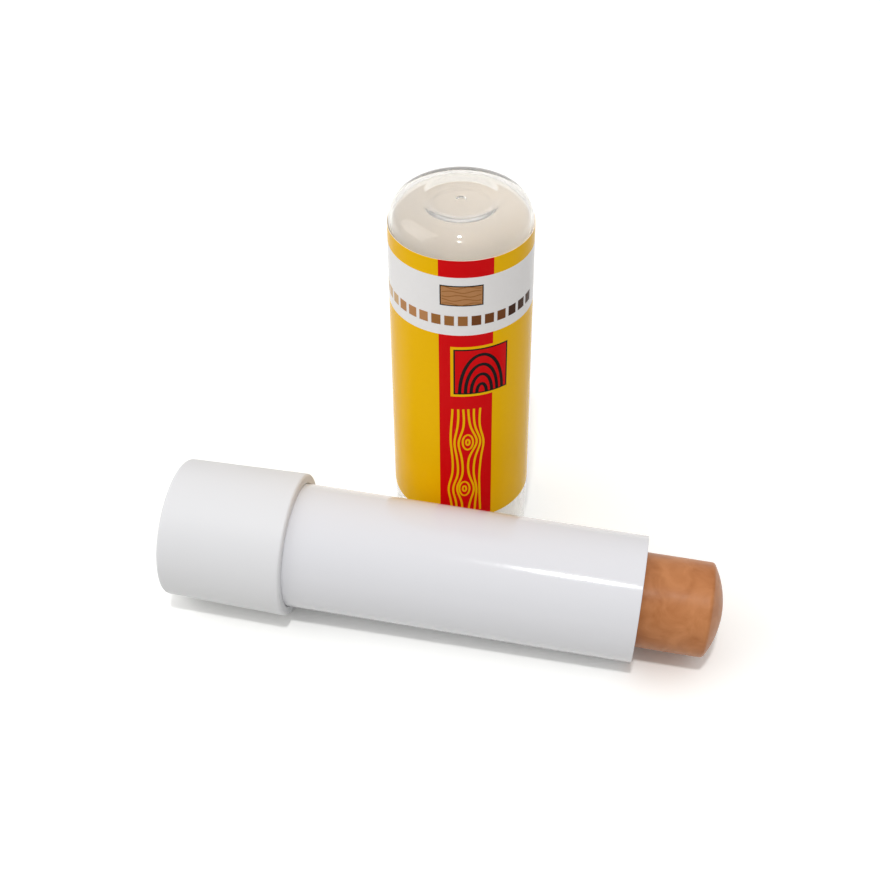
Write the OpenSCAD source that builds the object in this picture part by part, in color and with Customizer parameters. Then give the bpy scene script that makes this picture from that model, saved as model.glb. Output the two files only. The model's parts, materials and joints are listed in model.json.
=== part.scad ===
// Furniture repair wax stick: a propelling stick of filler wax with its clear cap standing beside it.
// The stick lies on the floor with its wax towards +X, and the cap stands upright behind it, towards +Y.
// The origin is on the floor, under the middle of the whole set.

/* [Wax] */
// Diameter of the wax
wax_d = 13; // [11:0.5:18]
// Height of the wax's domed tip
wax_dome = 1.9; // [1:0.1:3]
// Rounding between the wax's side and its domed tip
wax_edge = 0.6; // [0.3:0.1:0.9]
// Straight length of wax that stands out of the barrel as the set lies
wax_out = 9.25; // [4:0.25:20]
// Depth of the wax's tip inside the barrel's mouth when it is wound right down
wax_tip_in = 0.35; // [0.1:0.05:1]

/* [Barrel] */
// Length of barrel that shows between the twist base and the mouth
barrel_len = 48.2; // [40:0.1:70]
// Wall of the barrel
barrel_wall = 1.16; // [0.9:0.02:1.6]
// Number of ribs inside the barrel that keep the carrier from turning
rib_count = 4; // [2:1:6]
// Width of a rib
rib_w = 1.2; // [0.8:0.1:2]
// Height of a rib off the bore
rib_h = 0.45; // [0.3:0.05:0.55]
// Distance from the barrel's mouth to the ends of the ribs
rib_end = 1.5; // [0.5:0.1:2]

/* [Twist base] */
// Length of the twist base
base_len = 17.5; // [14:0.1:24]
// Wall of the twist base at its shoulder
base_wall = 1.31; // [1.2:0.01:1.8]
// How much the radius tapers in from the shoulder to the closed end
base_taper = 0.41; // [0.2:0.01:0.5]
// Thickness of the closed end
base_floor = 1.6; // [1.2:0.1:2.5]
// Rounding of the closed end's edge
base_edge = 0.5; // [0.3:0.1:1.4]
// Rounding of the shoulder's outer edge
shoulder_edge = 0.4; // [0.2:0.1:0.6]
// Diameter of the boss that holds the drive screw
boss_d = 8; // [7:0.1:10]
// Height of the boss
boss_h = 2.4; // [1.5:0.1:4]

/* [Snap ring] */
// Height of the barrel's snap bead off its side
snap_h = 0.3; // [0.2:0.05:0.4]
// Width of the bead across its crest
snap_crest = 0.5; // [0.3:0.1:1]
// Length of each sloping side of the bead
snap_slope = 0.5; // [0.3:0.1:1]
// Distance from the twist base's shoulder to the middle of the bead
snap_in = 5; // [3:0.1:8]

/* [Drive screw] */
// Diameter over the crests of the screw's thread
screw_d = 5; // [4:0.1:5.6]
// Depth of the thread
thread_depth = 0.8; // [0.5:0.1:1]
// Number of thread starts
thread_starts = 2; // [1:1:3]
// Advance of the carrier in one turn of the twist base
thread_lead = 8; // [6:0.5:12]
// Diameter of the screw's flange, which sits on the boss
flange_d = 7.6; // [6.6:0.1:9]
// Thickness of the flange
flange_t = 0.9; // [0.6:0.1:1.5]
// Size of the six-sided foot over its corners
foot_d = 4.4; // [3.6:0.1:5]

/* [Carrier] */
// Wall of the carrier's cup round the wax
cup_wall = 0.9; // [0.8:0.05:1.3]
// Depth of wax held in the cup
cup_depth = 5.5; // [4:0.5:10]
// Thickness of the web under the wax
web_t = 1.5; // [1:0.1:2.5]
// Length of the skirt under the web
skirt_len = 5; // [3:0.5:8]
// Wall of the threaded hub round the drive screw
hub_wall = 1.1; // [0.8:0.1:1.3]
// Distance from the barrel's mouth to the cup's rim when the wax is wound right out
cup_stop = 2; // [1.5:0.5:5]

/* [Cap] */
// Wall of the cap at its open rim
cap_wall = 1.08; // [0.9:0.02:1.6]
// How much the outer radius draws in from the rim to the shoulder
cap_draft = 0.36; // [0.1:0.02:0.5]
// Room above the barrel's mouth inside the cap
cap_room = 7; // [3:0.05:12]
// Thickness of the cap's roof under its dish
roof_t = 0.85; // [0.8:0.05:2]
// Depth of the dish in the cap's closed end
dish_depth = 0.75; // [0.5:0.05:1.6]
// Radius at which the flat crest meets the rounded shoulder
crest_r = 7.2; // [6.5:0.1:8]
// Radius of the dish at the crest
dish_r = 6.2; // [4.5:0.1:6.4]
// Radius of the dish's flat floor
dish_floor_r = 4.2; // [1.5:0.1:4.4]
// Height of the rounded shoulder
shoulder_h = 4; // [2.4:0.1:4.5]
// Radius of the flat ceiling inside the cap
ceiling_r = 6.4; // [5:0.1:7]
// Height of the rounded corner between the ceiling and the bore
ceiling_corner_h = 5; // [2:0.1:5.5]
// Diameter of the moulding gate's mark in the dish
gate_d = 1.6; // [0.8:0.1:2]
// Depth of the gate's mark
gate_depth = 0.1; // [0.05:0.05:0.3]
// Bevel inside the cap's rim
rim_bevel = 0.3; // [0.1:0.05:0.5]

/* [Label] */
// Thickness of the label
label_t = 0.12; // [0.08:0.01:0.2]
// Height of the label's lower edge above the cap's rim
label_low = 8.7; // [2:0.1:15]
// Distance from the cap's crest down to the label's upper edge
label_top_gap = 3.4; // [3:0.1:10]

/* [Layout] */
// Clear gap between the lying barrel and the standing cap
stand_gap = 1.85; // [1:0.05:20]
// Distance from the barrel's mouth back to the cap's axis
stand_back = 28.75; // [12:0.25:38]

/* [Clearances] */
// Radial running gap between the barrel and the twist base
run_gap = 0.08; // [0.03:0.01:0.1]
// Gap between the carrier and the barrel, all round and at the ribs
slide_gap = 0.15; // [0.1:0.01:0.2]
// Gap between the carrier's thread and the screw's
thread_gap = 0.25; // [0.2:0.01:0.3]
// Gap between the wax's hole and the screw
wax_bore_gap = 0.4; // [0.3:0.05:0.8]
// Gap between the cap's bore and the barrel
cap_gap = 0.11; // [0.05:0.01:0.3]
// End gap between the barrel and the twist base's floor, and under the carrier
end_gap = 0.4; // [0.2:0.05:1]

/* [Hidden] */
// Points along a rounded edge, round the screw's outline, and slices in one turn of its thread
edge_steps = 8;
curve_steps = 20;
thread_points = 16;
turn_slices = 12;
// How far a cut runs past the face that it opens
overrun = 0.5;
hex_sides = 6;
round_sides = 96;

wax_r = wax_d / 2;
cup_r = wax_r + cup_wall;
barrel_bore_r = cup_r + slide_gap;
barrel_r = barrel_bore_r + barrel_wall;
base_bore_r = barrel_r + run_gap;
base_r = base_bore_r + base_wall;
base_end_r = base_r - base_taper;
screw_r = screw_d / 2;

// Heights along the stick's own axis, from the closed end of the twist base
mouth_z = base_len + barrel_len;
barrel_foot_z = base_floor + end_gap;
snap_z = base_len - snap_in;
flange_z = base_floor + boss_h;
spindle_z = flange_z + flange_t;
hub_len = skirt_len + web_t;
carrier_len = hub_len + cup_depth;
carrier_low_z = spindle_z + end_gap;
wax_travel_in = wax_out + wax_dome + wax_tip_in;
carrier_z = carrier_low_z + wax_travel_in;
carrier_high_z = mouth_z - cup_stop - carrier_len;
spindle_top_z = carrier_high_z + hub_len;
wax_foot_z = carrier_z + hub_len;
wax_corner_z = mouth_z + wax_out;
wax_tip_z = wax_corner_z + wax_dome;
wax_bore_top_z = spindle_top_z + wax_travel_in + end_gap;

// The wax's dome is a sphere, and a smaller arc joins it to the side
dome_r = (wax_r * wax_r + wax_dome * wax_dome) / (2 * wax_dome);
dome_z = wax_tip_z - dome_r;
wax_edge_r = wax_r - wax_edge;
wax_edge_z = dome_z + sqrt((dome_r - wax_edge) * (dome_r - wax_edge) - wax_edge_r * wax_edge_r);
wax_edge_angle = atan2(wax_edge_z - dome_z, wax_edge_r);

// Heights of the cap above its rim
cap_bore_r = barrel_r + cap_gap;
cap_r = cap_bore_r + cap_wall;
ceiling_z = barrel_len + cap_room;
dish_z = ceiling_z + roof_t;
crest_z = dish_z + dish_depth;
shoulder_z = crest_z - shoulder_h;
cap_top_r = cap_r - cap_draft;
label_h = crest_z - label_top_gap - label_low;
label_r = cap_r - cap_draft * label_low / shoulder_z + label_t;
stand_r = max(cap_r, label_r);

// The stick leans down until its mouth and its rounded shoulder both touch the floor
shoulder_step = base_r - shoulder_edge - barrel_r;
shoulder_back = barrel_len + shoulder_edge;
lean = atan(shoulder_step / shoulder_back) + asin(shoulder_edge / norm([shoulder_step, shoulder_back]));
closed_end_height = barrel_r * cos(lean) + mouth_z * sin(lean);
stick_back = (base_end_r - base_edge) * sin(lean) + base_edge * (1 - cos(lean));
stick_front = dome_z * cos(lean) + dome_r;
set_depth = base_r + barrel_r + stand_gap + 2 * stand_r;
stick_x = (stick_back - stick_front) / 2;
stick_y = base_r - set_depth / 2;
cap_x = stick_x + mouth_z * cos(lean) - stand_back;
cap_y = set_depth / 2 - stand_r;

// Points of an arc round centre c, from angle a to angle b in n steps
function arc(c, r, a, b, n) = [for (i = [0:n]) c + r * [cos(a + (b - a) * i / n), sin(a + (b - a) * i / n)]];

// Points of a quarter of an ellipse round centre c, from its side up to its crest
function quarter(c, across, up, n) = [for (i = [0:n]) c + [across * cos(90 * i / n), up * sin(90 * i / n)]];

// Points down the dish's side, from the crest to its flat floor
function dish_side(n) = [for (i = [0:n])
    [dish_r + (dish_floor_r - dish_r) * i / n, dish_z + dish_depth * (1 + cos(180 * i / n)) / 2]];

// Outline of the screw's thread, grown by g, as one smooth lobe for each start
function lobes(g, n) = [for (i = [0:n - 1])
    (screw_r + g - thread_depth * (1 - cos(360 * thread_starts * i / n)) / 2) * [cos(360 * i / n), sin(360 * i / n)]];

// The stick's own axis, laid on the floor with its wax towards +X
module on_stick() {
    translate([stick_x, stick_y, closed_end_height])
        rotate([0, 90 + lean, 0])
            children();
}

// The cap's place, upright behind the stick
module on_cap() {
    translate([cap_x, cap_y, 0])
        children();
}

// A left-hand thread from one height to another, grown by g, in step with the drive screw's
module thread(low_z, high_z, g) {
    span = high_z - low_z;
    translate([0, 0, low_z])
        rotate(-360 * (low_z - spindle_z) / thread_lead)
            linear_extrude(height = span, twist = 360 * span / thread_lead,
                           slices = ceil(turn_slices * span / thread_lead))
                polygon(lobes(g, thread_points));
}

// Ring of the snap bead, or of its groove when grown by g
module snap_ring(g) {
    half = snap_crest / 2;
    foot = half + snap_slope;
    rotate_extrude($fn = round_sides)
        polygon([
            [barrel_bore_r + barrel_wall / 2, snap_z - foot - g],
            [barrel_r, snap_z - foot - g],
            [barrel_r + snap_h + g, snap_z - half - g],
            [barrel_r + snap_h + g, snap_z + half + g],
            [barrel_r, snap_z + foot + g],
            [barrel_bore_r + barrel_wall / 2, snap_z + foot + g]
        ]);
}

module barrel() {
    color([0.93, 0.93, 0.95])
        on_stick() {
            difference() {
                union() {
                    translate([0, 0, barrel_foot_z])
                        cylinder(r = barrel_r, h = mouth_z - barrel_foot_z, $fn = round_sides);
                    snap_ring(0);
                }
                translate([0, 0, barrel_foot_z - overrun])
                    cylinder(r = barrel_bore_r, h = mouth_z - barrel_foot_z + 2 * overrun, $fn = round_sides);
            }
            for (i = [0:rib_count - 1])
                rotate(360 * i / rib_count)
                    translate([barrel_bore_r - rib_h, -rib_w / 2, barrel_foot_z])
                        cube([rib_h + barrel_wall / 2, rib_w, mouth_z - rib_end - barrel_foot_z]);
        }
}

module twist_base() {
    color([0.88, 0.88, 0.88])
        on_stick() {
            difference() {
                rotate_extrude($fn = round_sides)
                    polygon(concat(
                        [[0, 0]],
                        arc([base_end_r - base_edge, base_edge], base_edge, -90, 0, edge_steps),
                        arc([base_r - shoulder_edge, base_len - shoulder_edge], shoulder_edge, 0, 90, edge_steps),
                        [[0, base_len]]
                    ));
                translate([0, 0, base_floor])
                    cylinder(r = base_bore_r, h = base_len - base_floor + overrun, $fn = round_sides);
                snap_ring(run_gap);
            }
            difference() {
                translate([0, 0, base_floor / 2])
                    cylinder(r = boss_d / 2, h = flange_z - base_floor / 2, $fn = round_sides);
                translate([0, 0, base_floor])
                    cylinder(r = foot_d / 2, h = boss_h + overrun, $fn = hex_sides);
            }
        }
}

module drive_screw() {
    color([0.80, 0.82, 0.84])
        on_stick() {
            translate([0, 0, base_floor])
                cylinder(r = foot_d / 2, h = boss_h, $fn = hex_sides);
            translate([0, 0, flange_z])
                cylinder(r = flange_d / 2, h = flange_t, $fn = round_sides);
            thread(spindle_z, spindle_top_z, 0);
        }
}

module carrier() {
    notch_r = barrel_bore_r - rib_h - slide_gap;
    notch_w = rib_w + 2 * slide_gap;
    color([0.90, 0.88, 0.80])
        on_stick()
            difference() {
                union() {
                    translate([0, 0, carrier_z])
                        difference() {
                            cylinder(r = cup_r, h = carrier_len, $fn = round_sides);
                            translate([0, 0, -overrun])
                                cylinder(r = wax_r, h = skirt_len + overrun, $fn = round_sides);
                            translate([0, 0, hub_len])
                                cylinder(r = wax_r, h = cup_depth + overrun, $fn = round_sides);
                        }
                    translate([0, 0, carrier_z])
                        cylinder(r = screw_r + thread_gap + hub_wall, h = hub_len, $fn = round_sides);
                }
                thread(carrier_z - overrun, carrier_z + hub_len + overrun, thread_gap);
                for (i = [0:rib_count - 1])
                    rotate(360 * i / rib_count)
                        translate([notch_r, -notch_w / 2, carrier_z - overrun])
                            cube([cup_r - notch_r + overrun, notch_w, carrier_len + 2 * overrun]);
            }
}

module wax_stick() {
    color([0.72, 0.47, 0.30])
        on_stick()
            difference() {
                rotate_extrude($fn = round_sides)
                    polygon(concat(
                        [[0, wax_foot_z], [wax_r, wax_foot_z]],
                        arc([wax_edge_r, wax_edge_z], wax_edge, 0, wax_edge_angle, edge_steps),
                        [for (p = arc([0, dome_z], dome_r, wax_edge_angle, 90, curve_steps)) if (p.x < wax_edge_r) p]
                    ));
                translate([0, 0, wax_foot_z - overrun])
                    cylinder(r = screw_r + wax_bore_gap, h = wax_bore_top_z - wax_foot_z + overrun,
                             $fn = round_sides);
            }
}

// Outline of the cap's outside, grown by g, from its rim to the flat floor of its dish
module cap_outline(g) {
    polygon(concat(
        [[0, 0], [cap_r + g, 0]],
        quarter([crest_r, shoulder_z], cap_top_r + g - crest_r, shoulder_h + g, curve_steps),
        dish_side(curve_steps),
        [[0, dish_z]]
    ));
}

module cap() {
    color([0.86, 0.92, 0.95, 0.45])
        on_cap()
            difference() {
                rotate_extrude($fn = round_sides)
                    cap_outline(0);
                rotate_extrude($fn = round_sides)
                    polygon(concat(
                        [[0, -overrun], [cap_bore_r + rim_bevel, -overrun], [cap_bore_r + rim_bevel, 0],
                         [cap_bore_r, rim_bevel]],
                        quarter([ceiling_r, ceiling_z - ceiling_corner_h], cap_bore_r - ceiling_r,
                                ceiling_corner_h, curve_steps),
                        [[0, ceiling_z]]
                    ));
                translate([0, 0, dish_z - gate_depth])
                    cylinder(r = gate_d / 2, h = gate_depth + overrun, $fn = round_sides);
            }
}

module wrap_label() {
    color([0.90, 0.68, 0.02])
        on_cap()
            rotate_extrude($fn = round_sides)
                intersection() {
                    difference() {
                        cap_outline(label_t);
                        cap_outline(0);
                    }
                    translate([crest_r, label_low])
                        square([cap_r + overrun - crest_r, label_h]);
                }
}

barrel();
twist_base();
drive_screw();
carrier();
wax_stick();
cap();
wrap_label();
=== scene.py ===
import json
from math import atan2, ceil, cos, exp, pi, radians, sin, sqrt, tan

import bmesh
import bpy
from mathutils import Matrix, Vector


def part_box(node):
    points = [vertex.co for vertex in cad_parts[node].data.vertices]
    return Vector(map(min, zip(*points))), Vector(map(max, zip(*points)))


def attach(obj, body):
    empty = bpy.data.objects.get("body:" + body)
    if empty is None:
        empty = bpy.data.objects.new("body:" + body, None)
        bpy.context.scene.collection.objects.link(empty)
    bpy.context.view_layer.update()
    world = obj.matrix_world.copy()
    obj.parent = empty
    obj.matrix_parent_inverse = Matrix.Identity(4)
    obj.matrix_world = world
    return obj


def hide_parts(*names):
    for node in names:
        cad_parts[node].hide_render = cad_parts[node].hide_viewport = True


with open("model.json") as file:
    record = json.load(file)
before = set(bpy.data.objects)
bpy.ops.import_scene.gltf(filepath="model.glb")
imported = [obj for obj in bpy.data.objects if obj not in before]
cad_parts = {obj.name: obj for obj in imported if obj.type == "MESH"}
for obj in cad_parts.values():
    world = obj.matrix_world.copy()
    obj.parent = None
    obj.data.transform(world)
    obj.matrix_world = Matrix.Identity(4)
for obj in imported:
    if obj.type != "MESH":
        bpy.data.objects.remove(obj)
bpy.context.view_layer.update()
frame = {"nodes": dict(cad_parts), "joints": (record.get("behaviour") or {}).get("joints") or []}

# Barrel
# A straight tube of glossy white polypropylene, injection moulded, with four ribs in its bore that
# keep the carrier from turning. Its lower end sits in the twist base on a snap ring.

# Sizes are in millimetres, which MM turns into Blender's metres. TINY is a length of no matter.
MM = 0.001
TINY = 1e-6

joint = {j["name"]: j for j in frame["joints"]}
stick_axis = Vector(joint["base_twist"]["axis"]).normalized()
closed_end = Vector(joint["base_twist"]["pos_m"])
lean = Vector((0, 0, 1)).rotation_difference(stick_axis)
stick_place = Matrix.Translation(closed_end) @ lean.to_matrix().to_4x4()

# From the wax outwards: the carrier's cup, the gap it slides in, and the barrel's own wall
wax_r = 6.5
cup_wall = 0.9
slide_gap = 0.15
barrel_wall = 1.16
bore_r = wax_r + cup_wall + slide_gap
barrel_r = bore_r + barrel_wall

# Heights are from the closed end of the twist base
base_len = 17.5
barrel_len = 48.2
mouth_z = base_len + barrel_len
base_floor = 1.6
end_gap = 0.4
barrel_foot_z = base_floor + end_gap
# The snap ring: its depth in the base, its height, and half the widths of its crest and its foot
snap_in = 5
snap_z = base_len - snap_in
snap_h = 0.3
snap_half = 0.25
snap_foot = 0.75
# The ribs, which stop this far inside the mouth
rib_count = 4
rib_w = 1.2
rib_h = 0.45
rib_end = 1.5
mould_edge = 0.08

lathe_sides = 192
crease = radians(38)


def to_linear(colour):
    """An sRGB hex colour as linear RGBA."""
    parts = [int(colour[i:i + 2], 16) / 255 for i in (0, 2, 4)]
    return [c / 12.92 if c <= 0.04045 else ((c + 0.055) / 1.055) ** 2.4 for c in parts] + [1.0]


def new_material(name):
    """A material with an empty node tree, and that tree."""
    material = bpy.data.materials.new(name)
    material.use_nodes = True
    material.node_tree.nodes.clear()
    return material, material.node_tree


def add_node(tree, kind, links=None, **settings):
    """A shader node with its settings, and its input sockets linked or set by name or number."""
    node = tree.nodes.new("ShaderNode" + kind)
    for key, value in settings.items():
        setattr(node, key, value)
    for key, value in (links or {}).items():
        socket = node.inputs[key]
        if hasattr(value, "is_output"):
            tree.links.new(value, socket)
        else:
            socket.default_value = value
    return node


def rounded(corners, steps=4):
    """A profile of (radius, height, rounding) corners as points, each rounded corner as an arc."""
    points = []
    for i, (r, z, edge) in enumerate(corners):
        here = Vector((r, z))
        if not edge or i in (0, len(corners) - 1):
            points.append(here)
            continue
        before = (Vector(corners[i - 1][:2]) - here).normalized()
        after = (Vector(corners[i + 1][:2]) - here).normalized()
        half = before.angle(after) / 2
        reach = edge / tan(half)
        centre = here + (before + after).normalized() * edge / sin(half)
        start = here + before * reach - centre
        end = here + after * reach - centre
        turn = start.angle_signed(end)
        for k in range(steps + 1):
            points.append(centre + Matrix.Rotation(-turn * k / steps, 2) @ start)
    return points


def finish_mesh(name, work, place, materials):
    """Puts a worked mesh in place as an object, shaded smooth between its true edges. The wide
    faces rule the shading, so that a long straight side reflects as a straight side does."""
    bmesh.ops.recalc_face_normals(work, faces=work.faces)
    work.transform(place)
    mesh = bpy.data.meshes.new(name)
    work.to_mesh(mesh)
    work.free()
    for material in materials:
        mesh.materials.append(material)
    mesh.shade_smooth()
    mesh.set_sharp_from_angle(angle=crease)
    piece = bpy.data.objects.new(name, mesh)
    bpy.context.scene.collection.objects.link(piece)
    even = piece.modifiers.new("even_shading", "WEIGHTED_NORMAL")
    even.keep_sharp = True
    return piece


def lathe(name, profile, place, material, out_of_round=None, ring=False):
    """A turned piece: a profile spun round its axis and put in place. A ring's profile closes."""
    work = bmesh.new()
    rows = []
    for r, z in profile:
        row = []
        for turn in [2 * pi * i / lathe_sides for i in range(lathe_sides if r > TINY else 1)]:
            here = out_of_round(r, z, turn) if out_of_round else r
            row.append(work.verts.new((here * MM * cos(turn), here * MM * sin(turn), z * MM)))
        rows.append(row)
    for low, high in zip(rows, rows[1:] + (rows[:1] if ring else [])):
        for i in range(lathe_sides):
            k = (i + 1) % lathe_sides
            corner = [low[i % len(low)], low[k % len(low)],
                      high[k % len(high)], high[i % len(high)]]
            face = [v for n, v in enumerate(corner) if v not in corner[:n]]
            if len(face) > 2:
                work.faces.new(face)
    return finish_mesh(name, work, place, [material])


# Polypropylene from a polished mould gives a bright gloss with a slow ripple, where the melt sank.
# Fine scuffs from use vary the gloss; they are drawn coarser than real ones, so that they show.
# The patterns keep to the piece: spot is the place on it, and each length is that of one mark.
ripple_len, scuff_len = 9, 0.5
gloss_white, tree = new_material("polypropylene_polished_white")
spot = add_node(tree, "TexCoord")
ripple = add_node(tree, "TexNoise", {"Vector": spot.outputs["Object"],
                                     "Scale": 1 / (ripple_len * MM), "Detail": 1.0})
scuffs = add_node(tree, "TexNoise", {"Vector": spot.outputs["Object"],
                                     "Scale": 1 / (scuff_len * MM), "Detail": 3.0})
rough = add_node(tree, "MapRange", {"Value": scuffs.outputs["Fac"], "From Min": 0.3,
                                    "From Max": 0.8, "To Min": 0.07, "To Max": 0.13})
wave = add_node(tree, "Bump", {"Height": ripple.outputs["Fac"], "Strength": 0.12,
                               "Distance": 0.15 * MM})
skin = add_node(tree, "BsdfPrincipled", {
    "Base Color": to_linear("E5E5E9"), "Roughness": rough.outputs["Result"],
    "Normal": wave.outputs["Normal"], "IOR": 1.49})
add_node(tree, "OutputMaterial", {"Surface": skin.outputs["BSDF"]})


def ribbed(r, z, turn):
    """The bore's radius, less the height of a rib where one runs."""
    pitch = 2 * pi / rib_count
    across = bore_r * abs((turn + pitch / 2) % pitch - pitch / 2)
    on_rib = r < bore_r + TINY and z < mouth_z - rib_end + TINY and across < rib_w / 2
    return r - rib_h if on_rib else r


barrel = lathe("barrel_shell", rounded([
    (bore_r, barrel_foot_z, 0), (barrel_r, barrel_foot_z, mould_edge),
    (barrel_r, snap_z - snap_foot, 0), (barrel_r + snap_h, snap_z - snap_half, 0),
    (barrel_r + snap_h, snap_z + snap_half, 0), (barrel_r, snap_z + snap_foot, 0),
    (barrel_r, mouth_z, mould_edge), (bore_r, mouth_z, mould_edge),
    (bore_r, mouth_z - rib_end + mould_edge, 0), (bore_r, mouth_z - rib_end, 0)]),
    stick_place, gloss_white, ribbed, ring=True)
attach(barrel, "barrel")
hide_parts("barrel")

# Twist base
# A deep cup of matt white polypropylene that turns on the barrel's end and drives the screw
# inside. It is moulded in a lightly spark-eroded tool and tapers towards its closed end.
run_gap = 0.08
base_wall = 1.31
base_taper = 0.41
base_bore_r = barrel_r + run_gap
base_r = base_bore_r + base_wall
base_end_r = base_r - base_taper
base_edge = 0.5
shoulder_edge = 0.4
edge_steps = 8
boss_r = 4
boss_h = 2.4
boss_top_z = base_floor + boss_h
socket_r = 2.2

# Polypropylene from a spark-eroded mould scatters light to an even matt white, a little glossier
# in clouds where it was handled. The pits are drawn 0.12 mm wide, coarser than real ones, to show.
pit_len, cloud_len = 0.12, 6
matt_white, tree = new_material("polypropylene_spark_textured_white")
spot = add_node(tree, "TexCoord")
grain = add_node(tree, "TexNoise", {"Vector": spot.outputs["Object"],
                                    "Scale": 1 / (pit_len * MM), "Detail": 2.0})
cloud = add_node(tree, "TexNoise", {"Vector": spot.outputs["Object"],
                                    "Scale": 1 / (cloud_len * MM), "Detail": 2.0})
rough = add_node(tree, "MapRange", {"Value": cloud.outputs["Fac"], "From Min": 0.3,
                                    "From Max": 0.7, "To Min": 0.42, "To Max": 0.5})
pits = add_node(tree, "Bump", {"Height": grain.outputs["Fac"], "Strength": 0.25,
                               "Distance": 0.02 * MM})
skin = add_node(tree, "BsdfPrincipled", {
    "Base Color": to_linear("E6E6E8"), "Roughness": rough.outputs["Result"],
    "Normal": pits.outputs["Normal"], "IOR": 1.49})
add_node(tree, "OutputMaterial", {"Surface": skin.outputs["BSDF"]})


def six_sided(r, z, turn):
    """The socket's radius, drawn in between the six corners that hold the screw's foot."""
    half = pi / 6
    return r * cos(half) / cos(turn % (2 * half) - half) if abs(r - socket_r) < TINY else r


base = lathe("base_shell", rounded([
    (0, 0, 0), (base_end_r, 0, base_edge), (base_r, base_len, shoulder_edge),
    (base_bore_r, base_len, mould_edge), (base_bore_r, snap_z + snap_foot + run_gap, 0),
    (base_bore_r + snap_h, snap_z + snap_half + run_gap, 0),
    (base_bore_r + snap_h, snap_z - snap_half - run_gap, 0),
    (base_bore_r, snap_z - snap_foot - run_gap, 0), (base_bore_r, base_floor, 0),
    (boss_r, base_floor, 0), (boss_r, boss_top_z, mould_edge), (socket_r, boss_top_z, 0),
    (socket_r, base_floor, 0), (0, base_floor, 0)], edge_steps),
    stick_place, matt_white, six_sided)
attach(base, "base")
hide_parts("twist_base")

# Drive screw and carrier
# Natural polypropylene pieces inside the barrel: the two-start screw that the base turns, and the
# cup that climbs it with the wax. They keep their solids and only their finish is set here.

# Polypropylene without pigment is a milky off-white, clouded along the flow of the melt, with a
# dull gloss.
flow_len = 3
inner_white, tree = new_material("polypropylene_natural")
spot = add_node(tree, "TexCoord")
flow = add_node(tree, "TexNoise", {"Vector": spot.outputs["Object"],
                                   "Scale": 1 / (flow_len * MM), "Detail": 2.0})
tone = add_node(tree, "Mix", {"Factor": flow.outputs["Fac"], "A": to_linear("DEDDD6"),
                              "B": to_linear("E8E7E2")}, data_type="RGBA")
rough = add_node(tree, "MapRange", {"Value": flow.outputs["Fac"], "To Min": 0.3, "To Max": 0.42})
skin = add_node(tree, "BsdfPrincipled", {
    "Base Color": tone.outputs["Result"], "Roughness": rough.outputs["Result"], "IOR": 1.49})
add_node(tree, "OutputMaterial", {"Surface": skin.outputs["BSDF"]})
for node in ("drive_screw", "carrier"):
    for held in frame["nodes"][node].material_slots:
        held.material = inner_white

# Wax stick
# Medium beech-brown furniture filler wax, cast round a blind hole that clears the screw, with a
# low domed tip and a softly rounded edge.
wax_out = 9.25
wax_dome = 1.9
wax_edge = 0.6
wax_foot_z = 23.3
wax_hole_r = 2.9
wax_hole_out = 4.4
wax_hole_top_z = mouth_z + wax_hole_out
wax_tip_z = mouth_z + wax_out + wax_dome
dome_r = (wax_r * wax_r + wax_dome * wax_dome) / (2 * wax_dome)
dome_z = wax_tip_z - dome_r
edge_r = wax_r - wax_edge
edge_z = dome_z + sqrt((dome_r - wax_edge) ** 2 - edge_r ** 2)
edge_turn = atan2(edge_z - dome_z, edge_r)
edge_arc_steps, dome_arc_steps = 8, 24


def arc(centre, radius, start, end, steps):
    """Points of an arc round a centre, from one angle to another."""
    turns = [start + (end - start) * i / steps for i in range(steps + 1)]
    return [Vector(centre) + radius * Vector((cos(t), sin(t))) for t in turns]


# Cast wax is a warm brown in soft blotches, with low smears left by the mould and by use, and a
# weak sheen that breaks up over them.
blotch_len, smear_len = 3.2, 1.6
wax_brown, tree = new_material("filler_wax_beech")
spot = add_node(tree, "TexCoord")
blotch = add_node(tree, "TexNoise", {
    "Vector": spot.outputs["Object"], "Scale": 1 / (blotch_len * MM), "Detail": 3.0,
    "Roughness": 0.55, "Distortion": 0.6})
tone = add_node(tree, "ValToRGB", {"Fac": blotch.outputs["Fac"]})
tone.color_ramp.elements[0].position = 0.32
tone.color_ramp.elements[0].color = to_linear("B06E40")
tone.color_ramp.elements[1].position = 0.68
tone.color_ramp.elements[1].color = to_linear("C88656")
smear = add_node(tree, "TexNoise", {"Vector": spot.outputs["Object"],
                                    "Scale": 1 / (smear_len * MM), "Detail": 2.0})
uneven = add_node(tree, "Bump", {"Height": smear.outputs["Fac"], "Strength": 0.35,
                                 "Distance": 0.12 * MM})
rough = add_node(tree, "MapRange", {"Value": smear.outputs["Fac"], "From Min": 0.3,
                                    "From Max": 0.7, "To Min": 0.3, "To Max": 0.42})
skin = add_node(tree, "BsdfPrincipled", {
    "Base Color": tone.outputs["Color"], "Roughness": rough.outputs["Result"],
    "Normal": uneven.outputs["Normal"], "IOR": 1.44, "Specular IOR Level": 0.2})
add_node(tree, "OutputMaterial", {"Surface": skin.outputs["BSDF"]})

wax = lathe("wax_body",
            [(0, wax_hole_top_z), (wax_hole_r, wax_hole_top_z), (wax_hole_r, wax_foot_z),
             (wax_r, wax_foot_z)]
            + arc((edge_r, edge_z), wax_edge, 0, edge_turn, edge_arc_steps)
            + arc((0, dome_z), dome_r, edge_turn, pi / 2, dome_arc_steps)[1:-1]
            + [(0, wax_tip_z)],
            stick_place, wax_brown)
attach(wax, "feed")
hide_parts("wax_stick")

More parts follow.
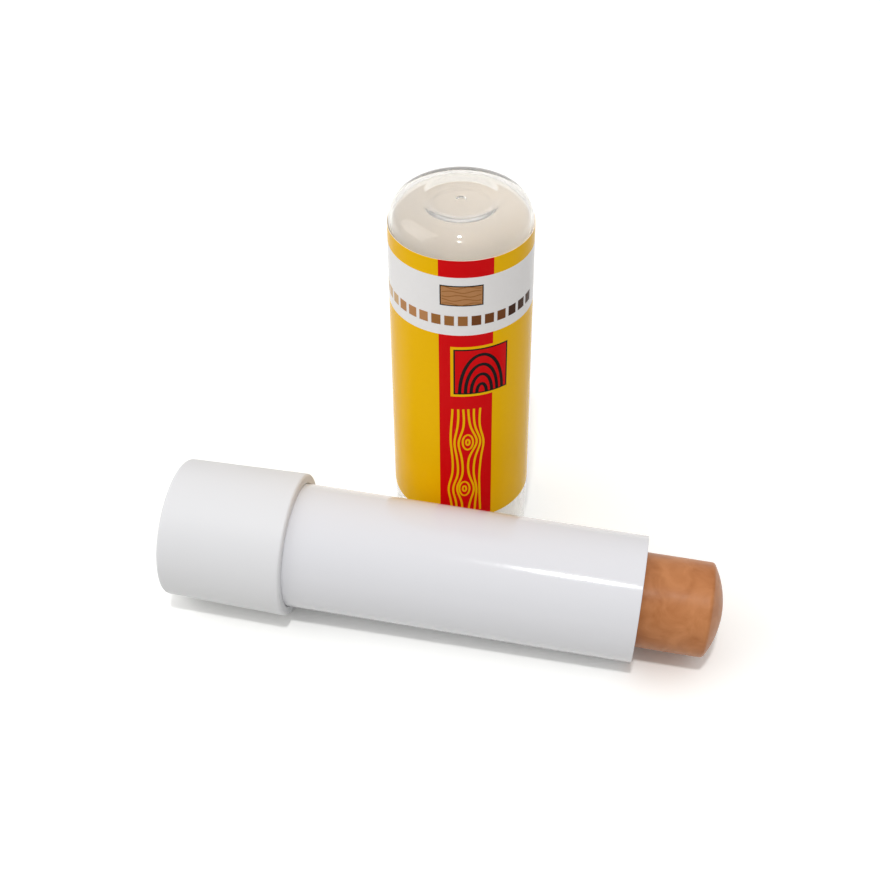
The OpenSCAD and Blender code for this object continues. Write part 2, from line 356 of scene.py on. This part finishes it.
# Cap
# A clear polystyrene cup, injection moulded through a gate in the dish of its closed end. It goes
# over the barrel down to the twist base's shoulder, and stands here on its open rim.
cap_low, cap_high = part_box("cap")
cap_place = Matrix.Translation(((cap_low[0] + cap_high[0]) / 2, (cap_low[1] + cap_high[1]) / 2, 0))
cap_gap = 0.11
cap_wall = 1.08
cap_bore_r = barrel_r + cap_gap
cap_r = cap_bore_r + cap_wall
cap_draft = 0.36

# Heights are from the open rim
cap_past_barrel = 8.6
crest_z = barrel_len + cap_past_barrel
crest_r = 6
roof_t = 1.2
dish_depth = 0.4
dish_z = crest_z - dish_depth
dish_r = 5.4
dish_floor_r = 3.8
shoulder_h = 5.5
shoulder_z = crest_z - shoulder_h
gate_r = 0.7
gate_floor_r = 0.56
gate_depth = 0.2
rim_chamfer = 0.3
rim_edge = 0.2
chamfer_edge = 0.1
# The shoulder is a squared-off ellipse: 2 would be a plain one, and more is squarer
squareness = 3
curve_steps = 32


def quarter(centre, across, up, steps):
    """Points of a quarter of a squared-off ellipse, from its side up to its crest."""
    turns = [pi / 2 * i / steps for i in range(steps + 1)]
    return [Vector((centre[0] + across * abs(cos(t)) ** (2 / squareness),
                    centre[1] + up * sin(t) ** (2 / squareness))) for t in turns]


# Moulded polystyrene is as clear as glass with a mirror gloss, and slow waves in it bend what is
# seen through it. The thin wall shifts the view less than a solid block would, so the body's IOR
# is under polystyrene's own; the coat has the real one and gives the gloss. Light on its way to
# the label and the floor goes through all but unchanged.
melt_len = 7
clear, tree = new_material("polystyrene_clear")
spot = add_node(tree, "TexCoord")
flow = add_node(tree, "TexNoise", {"Vector": spot.outputs["Object"],
                                   "Scale": 1 / (melt_len * MM), "Detail": 1.0})
wave = add_node(tree, "Bump", {"Height": flow.outputs["Fac"], "Strength": 0.1,
                               "Distance": 0.1 * MM})
rough = add_node(tree, "MapRange", {"Value": flow.outputs["Fac"], "To Min": 0.08, "To Max": 0.12})
glass = add_node(tree, "BsdfPrincipled", {
    "Base Color": to_linear("FBF8F3"), "Roughness": rough.outputs["Result"],
    "Normal": wave.outputs["Normal"], "IOR": 1.3, "Transmission Weight": 0.9,
    "Coat Weight": 1.0, "Coat Roughness": 0.03, "Coat IOR": 1.55})
through = add_node(tree, "BsdfTransparent", {"Color": to_linear("FEFEFE")})
light = add_node(tree, "LightPath")
surface = add_node(tree, "MixShader", {0: light.outputs["Is Shadow Ray"],
                                       1: glass.outputs["BSDF"], 2: through.outputs["BSDF"]})
add_node(tree, "OutputMaterial", {"Surface": surface.outputs["Shader"]})

outside = quarter((crest_r, shoulder_z), cap_r - cap_draft - crest_r, crest_z - shoulder_z,
                  curve_steps)
dish = [Vector((dish_r + (dish_floor_r - dish_r) * i / curve_steps,
                dish_z + (crest_z - dish_z) * (1 + cos(pi * i / curve_steps)) / 2))
        for i in range(curve_steps + 1)]
inside = (quarter((crest_r, shoulder_z), cap_bore_r - crest_r, crest_z - roof_t - shoulder_z,
                  curve_steps)
          + [point - Vector((0, roof_t)) for point in dish])
gate = [(0, dish_z - gate_depth), (gate_floor_r, dish_z - gate_depth), (gate_r, dish_z)]
rim = rounded([(cap_r - cap_draft, shoulder_z, 0), (cap_r, 0, rim_edge),
               (cap_bore_r + rim_chamfer, 0, chamfer_edge),
               (cap_bore_r, rim_chamfer, chamfer_edge), (cap_bore_r, shoulder_z, 0)])[1:-1]
cap_profile = gate + dish[::-1] + outside[::-1] + rim + inside + [(0, dish_z - roof_t)]
cap = lathe("cap_shell", cap_profile, cap_place, clear)
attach(cap, "cap")
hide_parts("cap")

# Wrap label
# A varnished film sleeve printed yellow with one red upright stripe and a white band, wound once
# round the cap and lapped at the back. Its unprinted inner face shows pale through the clear cap;
# that pale cream is painted lighter than the film's own, as painted light shining through it.
film_t = 0.07
film_gap = 0.01
label_low = 8.7
label_drop = 3.4
label_top = crest_z - label_drop
band_low = 41.88
band_top = 50.88

# Angles in degrees: how far round from the front the camera stands, and from there to the
# stripe's middle, and the pitch of the film's upright strips
view_turn = 10.675
stripe_aside = 3.89
film_pitch = 2.5
stripe_turn = radians(-90 + view_turn + stripe_aside)
stripe_half = radians(21.55)


def cap_side(z):
    """Outer radius of the cap at a height."""
    return cap_r - cap_draft * z / shoulder_z


# Print under a clear varnish gives a full, even colour and a smooth satin gloss. The ink's faint
# mottle is drawn 0.6 mm wide, coarser than a real press leaves it, and the film has slow wrinkles.
mottle_len, wrinkle_len = 0.6, 8


def varnished_film(name, colour, mottle):
    """The finish of one ink on the film, between its colour and a slightly darker mottle."""
    material, tree = new_material(name)
    spot = add_node(tree, "TexCoord")
    press = add_node(tree, "TexNoise", {"Vector": spot.outputs["Object"],
                                        "Scale": 1 / (mottle_len * MM), "Detail": 2.0})
    wrinkle = add_node(tree, "TexNoise", {"Vector": spot.outputs["Object"],
                                          "Scale": 1 / (wrinkle_len * MM)})
    tone = add_node(tree, "Mix", {"Factor": press.outputs["Fac"], "A": to_linear(colour),
                                  "B": to_linear(mottle)}, data_type="RGBA")
    rough = add_node(tree, "MapRange", {"Value": press.outputs["Fac"], "To Min": 0.16,
                                        "To Max": 0.24})
    wave = add_node(tree, "Bump", {"Height": wrinkle.outputs["Fac"], "Strength": 0.1,
                                   "Distance": 0.1 * MM})
    skin = add_node(tree, "BsdfPrincipled", {
        "Base Color": tone.outputs["Result"], "Roughness": rough.outputs["Result"],
        "Specular IOR Level": 0.05, "Normal": wave.outputs["Normal"], "IOR": 1.5})
    add_node(tree, "OutputMaterial", {"Surface": skin.outputs["BSDF"]})
    return material


yellow_print = varnished_film("film_print_yellow", "FFC600", "FCC200")
red_print = varnished_film("film_print_red", "E4080F", "DF060D")
white_print = varnished_film("film_print_white", "FCFAFA", "F8F6F5")
# The inner face has the film's own cream, painted lighter to stand in for light that shines
# through the film from outside.
film_back_painted_light = varnished_film("film_back_painted_light", "FFF2E1", "FCEEDC")
YELLOW, RED, WHITE, FILM_BACK_PAINTED_LIGHT = range(4)

# The film is two skins of upright strips, joined at its lower and upper edge. Its zones go from
# the rim up: each has its lowest and highest line, its ink and its number of rows.
zones = ((label_low, band_low, YELLOW, 12), (band_low, band_top, WHITE, 4),
         (band_top, label_top, YELLOW, 8))
strips = [radians(film_pitch * i) for i in range(ceil(360 / film_pitch))]
stripe_sides = [(stripe_turn + side * stripe_half) % (2 * pi) for side in (-1, 1)]
turns = sorted(set(round(turn, 6) for turn in strips + stripe_sides))
heights = [low + (top - low) * i / rows for low, top, ink, rows in zones for i in range(rows)]
heights.append(label_top)

work = bmesh.new()
skins = []
for depth in (film_gap, film_gap + film_t):
    skins.append([[work.verts.new(((cap_side(z) + depth) * MM * cos(t),
                                   (cap_side(z) + depth) * MM * sin(t), z * MM))
                   for t in turns] for z in heights])
for side, rows in enumerate(skins):
    for row in range(len(heights) - 1):
        for i, t in enumerate(turns):
            k = (i + 1) % len(turns)
            face = work.faces.new((rows[row][i], rows[row][k], rows[row + 1][k], rows[row + 1][i]))
            middle = (t + (turns[k] if k else turns[k] + 2 * pi)) / 2
            off_stripe = abs((middle - stripe_turn + pi) % (2 * pi) - pi)
            z = (heights[row] + heights[row + 1]) / 2
            if side == 0:
                face.material_index = FILM_BACK_PAINTED_LIGHT
            elif band_low < z < band_top:
                face.material_index = WHITE
            else:
                face.material_index = RED if off_stripe < stripe_half else YELLOW
for end in (0, -1):
    for i in range(len(turns)):
        k = (i + 1) % len(turns)
        face = work.faces.new((skins[0][end][i], skins[0][end][k],
                               skins[1][end][k], skins[1][end][i]))
        face.material_index = FILM_BACK_PAINTED_LIGHT
label = finish_mesh("label_film", work, cap_place,
                    [yellow_print, red_print, white_print, film_back_painted_light])
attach(label, "cap")
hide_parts("wrap_label")

# The marks are patches of ink on the film. Real ink is thinner than 0.01 mm; here its layers stand
# this far off the film, first to fourth, so that one shows clearly over another, and each patch
# goes a little way into the film.
ink_rise = (0.02, 0.03, 0.04, 0.05)
ink_sink = 0.01
strip_w = 0.45


def on_label(u, v, rise):
    """A point of print: u round from the stripe's middle, v above the rim, rise off the film."""
    r = cap_side(v) + film_gap + film_t + rise
    turn = stripe_turn + u / cap_side(v)
    return r * MM * cos(turn), r * MM * sin(turn), v * MM


def patch(work, pairs, ink, closed=False, rise=ink_rise[0]):
    """One closed patch of print between pairs of points (u, v), as thin as a layer of ink."""
    rows = [[work.verts.new(on_label(*point, height)) for point, height in
             ((a, -ink_sink), (b, -ink_sink), (b, rise), (a, rise))] for a, b in pairs]
    for first, second in zip(rows, rows[1:] + (rows[:1] if closed else [])):
        for i in range(4):
            k = (i + 1) % 4
            face = work.faces.new((first[i], first[k], second[k], second[i]))
            face.material_index = ink
    for end in [] if closed else [rows[0], rows[-1]]:
        work.faces.new(end).material_index = ink


def block(u_low, u_high, v_low, v_high):
    """A rectangle of print, cut into upright strips that follow the cap's curve."""
    count = max(1, ceil((u_high - u_low) / strip_w))
    across = [u_low + (u_high - u_low) * i / count for i in range(count + 1)]
    return [((u, v_low), (u, v_high)) for u in across]


def line(points, width, closed=False):
    """A line of print along points, as the pairs of points on its two sides."""
    pairs = []
    for i, (u, v) in enumerate(points):
        before = points[i - 1] if i or closed else points[i]
        after = points[(i + 1) % len(points)] if i + 1 < len(points) or closed else points[i]
        side = Vector((before[1] - after[1], after[0] - before[0])).normalized() * width / 2
        pairs.append(((u + side.x, v + side.y), (u - side.x, v - side.y)))
    return pairs


# The print has the film's first three inks, black, and five wood shades from light to dark
black_print = varnished_film("film_print_black", "1C1A1A", "201D1D")
shade_prints = [varnished_film("film_print_" + wood, colour, mottle) for wood, colour, mottle in (
    ("maple", "DDB98A", "D6B081"), ("beech", "C68F5E", "BE8657"), ("oak", "A8723F", "9F6A39"),
    ("walnut", "7C4A26", "744422"), ("wenge", "4A2A17", "432614"))]
inks = [yellow_print, red_print, white_print, black_print] + shade_prints
BLACK, FIRST_SHADE, BEECH, OAK = 3, 4, 5, 6
work = bmesh.new()

# On the band, a swatch of beech in a black frame, with lines of grain
swatch_u, swatch_v, swatch_w, swatch_h = -0.6, 48.1, 5.6, 3.1
swatch_frame = 0.16
grain_lines, grain_steps, grain_part, grain_drop = 5, 14, 0.9, 0.4
grain_w, grain_wave, grain_turn, grain_shift = 0.12, 0.14, 0.7, 1.9
for inset, ink, rise in ((0, BLACK, ink_rise[0]), (swatch_frame, BEECH, ink_rise[1])):
    patch(work, block(swatch_u - swatch_w / 2 + inset, swatch_u + swatch_w / 2 - inset,
                      swatch_v - swatch_h / 2 + inset, swatch_v + swatch_h / 2 - inset),
          ink, rise=rise)
for row in range(grain_lines):
    grain_v = swatch_v + swatch_h * (row / grain_lines - grain_drop)
    grain = [(swatch_u + swatch_w * (i / grain_steps - 0.5) * grain_part,
              grain_v + grain_wave * sin(grain_turn * i + grain_shift * row))
             for i in range(grain_steps + 1)]
    patch(work, line(grain, grain_w), OAK, rise=ink_rise[2])

# Below the swatch, a row of chips in wood shades, from light to dark
chip_v, chip_w, chip_h, chip_pitch = 44.2, 1.25, 1.5, 1.75
chip_middle_u = -2.2
chips, chips_a_shade = 15, 3
for i in range(chips):
    u = chip_middle_u + (i - (chips - 1) / 2) * chip_pitch
    patch(work, block(u - chip_w / 2, u + chip_w / 2, chip_v - chip_h / 2, chip_v + chip_h / 2),
          FIRST_SHADE + i // chips_a_shade)

# At the head of the stripe, a red square in a black and a yellow frame, with nested arches that
# stand on the frame like the growth rings of a sawn log
frame_u, frame_v = (-2.08, 6.25), (31.65, 40.0)
yellow_edge, black_edge = 0.4, 0.22
arch_u = (frame_u[0] + frame_u[1]) / 2
arch_foot = frame_v[0] + yellow_edge + black_edge
arch_w, arch_h = 2.95, 6.3
arch_sizes = (1.0, 0.74, 0.48, 0.22)
arch_line, arch_steps = 0.46, 24
for inset, ink, rise in ((0, YELLOW, ink_rise[0]), (yellow_edge, BLACK, ink_rise[1]),
                         (yellow_edge + black_edge, RED, ink_rise[2])):
    patch(work, block(frame_u[0] + inset, frame_u[1] - inset, frame_v[0] + inset,
                      frame_v[1] - inset), ink, rise=rise)
for size in arch_sizes:
    arch = [(arch_u + arch_w * size * cos(pi * i / arch_steps),
             arch_foot + arch_h * size * sin(pi * i / arch_steps)) for i in range(arch_steps + 1)]
    patch(work, line(arch, arch_line), BLACK, rise=ink_rise[3])

# Down the stripe, yellow board grain: six strands that part round two knots, the inner strands
# further than the outer ones, and two rings for each knot
board_low, board_len, board_steps = 10.2, 19.2, 60
strand_pitch, strand_w, strand_wave, strand_turn = 0.78, 0.3, 0.12, 0.55
strand_push = (0.8, 0.5, 0.25)
knots = ((0.25, 23.4), (-0.2, 14.6))
knot_reach, knot_pull = 2.1, 0.8
knot_rings = ((0.72, 1.35), (0.25, 0.5))
knot_line, knot_steps = 0.26, 24
for strand in (-2.5, -1.5, -0.5, 0.5, 1.5, 2.5):
    push = strand_push[int(abs(strand))] * (1 if strand > 0 else -1)
    grain = []
    for i in range(board_steps + 1):
        v = board_low + board_len * i / board_steps
        shift = sum(exp(-((v - knot_v) / knot_reach) ** 2) * (push + knot_u * knot_pull)
                    for knot_u, knot_v in knots)
        waver = strand_wave * sin(v * strand_turn + strand)
        grain.append((strand * strand_pitch + shift + waver, v))
    patch(work, line(grain, strand_w), YELLOW)
for knot_u, knot_v in knots:
    for half_w, half_h in knot_rings:
        ring = [(knot_u + half_w * cos(2 * pi * i / knot_steps),
                 knot_v + half_h * sin(2 * pi * i / knot_steps)) for i in range(knot_steps)]
        patch(work, line(ring, knot_line, closed=True), YELLOW, closed=True)

# At the back, the film's outer end overlaps its start
lap_u, lap_w = 30.6, 3.5
for low, top, ink, rows in zones:
    patch(work, block(lap_u, lap_u + lap_w, low, top), ink, rise=film_t)
label_print = finish_mesh("label_print", work, cap_place, inks)
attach(label_print, "cap")

# Floor, light and camera
# A white sweep under a light tent, one small lamp above the camera, and the camera where the
# photograph was taken from. Places and sizes of the stage are in metres.
floor_r = 0.42
floor_sides = 96


def seen_rays(tree):
    """A socket that is 1 for rays that show a thing to the eye, straight, by gloss or through
    clear plastic, and 0 for rays that only carry light to the pieces."""
    light = add_node(tree, "LightPath")
    outer = add_node(tree, "Math", {0: light.outputs["Is Camera Ray"],
                                    1: light.outputs["Is Glossy Ray"]}, operation="MAXIMUM")
    seen = add_node(tree, "Math", {0: outer.outputs["Value"],
                                   1: light.outputs["Is Transmission Ray"]}, operation="MAXIMUM")
    return seen.outputs["Value"]


# Matt white paper shows as bare white with the pieces' soft shadows. For the light it sends back
# on the pieces it is a pale grey, and a second layer lifts it to white for the eye alone.
eye_lift = 0.52
white_sweep, tree = new_material("white_sweep")
paint = add_node(tree, "BsdfDiffuse", {"Color": to_linear("D9D9D6")})
level = add_node(tree, "Math", {0: seen_rays(tree), 1: eye_lift}, operation="MULTIPLY")
lift = add_node(tree, "BsdfDiffuse", {"Color": level.outputs["Value"]})
both = add_node(tree, "AddShader", {0: paint.outputs["BSDF"], 1: lift.outputs["BSDF"]})
add_node(tree, "OutputMaterial", {"Surface": both.outputs["Shader"]})

floor_mesh = bpy.data.meshes.new("floor")
work = bmesh.new()
bmesh.ops.create_circle(work, cap_ends=True, segments=floor_sides, radius=floor_r)
work.to_mesh(floor_mesh)
work.free()
floor_mesh.materials.append(white_sweep)
floor = bpy.data.objects.new("floor", floor_mesh)
bpy.context.scene.collection.objects.link(floor)

# The tent is white to the eye. Its light is strongest from straight above and weak from the side.
world = bpy.data.worlds.new("light_tent")
bpy.context.scene.world = world
world.use_nodes = True
tree = world.node_tree
tree.nodes.clear()
direction = add_node(tree, "TexCoord")
axes = add_node(tree, "SeparateXYZ", {"Vector": direction.outputs["Generated"]})
tent_light = add_node(tree, "MapRange", {"Value": axes.outputs["Z"], "To Min": 0.08,
                                         "To Max": 0.88})
level = add_node(tree, "MapRange", {"Value": seen_rays(tree),
                                    "To Min": tent_light.outputs["Result"], "To Max": 1.0})
tent = add_node(tree, "Background", {"Color": to_linear("FFFFFF"),
                                     "Strength": level.outputs["Result"]})
add_node(tree, "OutputWorld", {"Surface": tent.outputs["Background"]})


def area_lamp(name, place, aim, size, watts):
    """A rectangular lamp of a size, at a place and turned to shine at a point."""
    lamp = bpy.data.lights.new(name, "AREA")
    lamp.shape = "RECTANGLE"
    lamp.size, lamp.size_y = size
    lamp.energy = watts
    piece = bpy.data.objects.new(name, lamp)
    turned = (Vector(aim) - Vector(place)).to_track_quat("-Z", "Y").to_matrix().to_4x4()
    piece.matrix_world = Matrix.Translation(place) @ turned
    bpy.context.scene.collection.objects.link(piece)


area_lamp("side_box", place=(-0.66, -0.2, 0.46), aim=(0, 0, 0.02), size=(0.8, 0.8), watts=1.95)
area_lamp("small_lamp", place=(0.026, -0.238, 0.57), aim=(0.017, -0.015, 0.016),
          size=(0.034, 0.034), watts=1.05)

# The camera's place, turn and tilt come from a fit to the outlines in the photograph
camera_from_cap = Vector((27.155, -144.05, 146.95)) * MM
camera_tilt = 41.396
camera = bpy.data.cameras.new("camera")
camera.sensor_width = 36
camera.lens = 54.48
camera.shift_x = -0.0241
camera.shift_y = -0.0155
camera.clip_start = 0.01
eye = bpy.data.objects.new("camera", camera)
eye.location = cap_place.translation + camera_from_cap
eye.rotation_euler = (pi / 2 - radians(camera_tilt), 0, radians(view_turn))
bpy.context.scene.collection.objects.link(eye)
bpy.context.scene.camera = eye
bpy.context.scene.view_settings.view_transform = "Standard"
